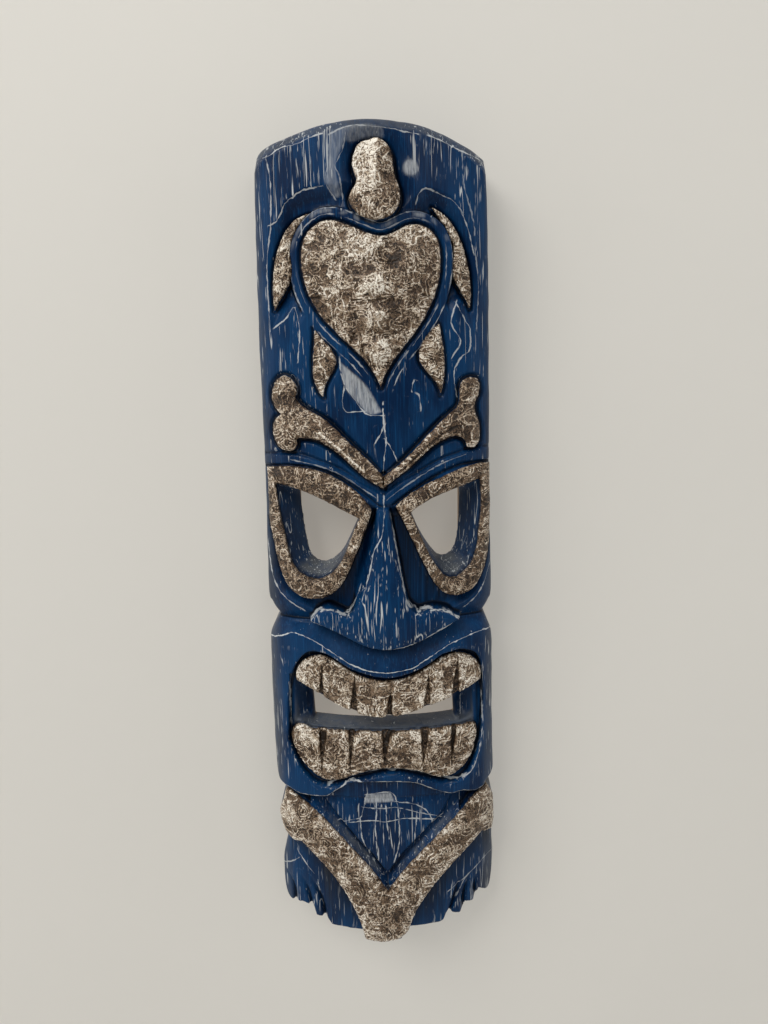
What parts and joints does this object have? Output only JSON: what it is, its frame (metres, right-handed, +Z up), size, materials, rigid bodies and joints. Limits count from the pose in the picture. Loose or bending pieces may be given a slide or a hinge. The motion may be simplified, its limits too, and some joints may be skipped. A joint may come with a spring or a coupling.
{
  "type": "carved wall mask",
  "caption": "Long carved and painted wooden wall mask with a hollow back, open eyes and mouth, textured skins over its relief, and a swinging hanger ring.",
  "frame": {"origin": "hanging point: under the top of the hanger ring's bend, on the wall plane", "axes": "+Z up along the mask, +Y from the face into the wall, +X to the viewer's right when looking at the face"},
  "size_m": [0.1445, 0.055, 0.5099],
  "materials": {
    "painted_wood": "dark blue paint, worn to pale wood along edges and grain",
    "textured_skin": "crumpled brown skin with cream ridges, clear varnish",
    "zinc_steel": "zinc plated"
  },
  "bodies": {
    "mask": {"carved_body": "painted_wood", "turtle_head": "textured_skin", "turtle_shell": "textured_skin", "front_flipper_left": "textured_skin", "front_flipper_right": "textured_skin", "rear_flipper_left": "textured_skin", "rear_flipper_right": "textured_skin", "brow_bone_left": "textured_skin", "brow_bone_right": "textured_skin", "eye_surround_left": "textured_skin", "eye_surround_right": "textured_skin", "upper_teeth": "textured_skin", "lower_teeth": "textured_skin", "chin_chevron": "textured_skin", "hanger_strap": "zinc_steel", "hanger_screws": "zinc_steel"},
    "ring": {"hanger_ring": "zinc_steel"}
  },
  "joints": [
    {"name": "ring_swing", "type": "hinge", "parent": "mask", "child": "ring", "pos_m": [0, -0.00332, -0.019], "axis": [-1, 0, 0], "range_deg": [0, 172]}
  ]
}
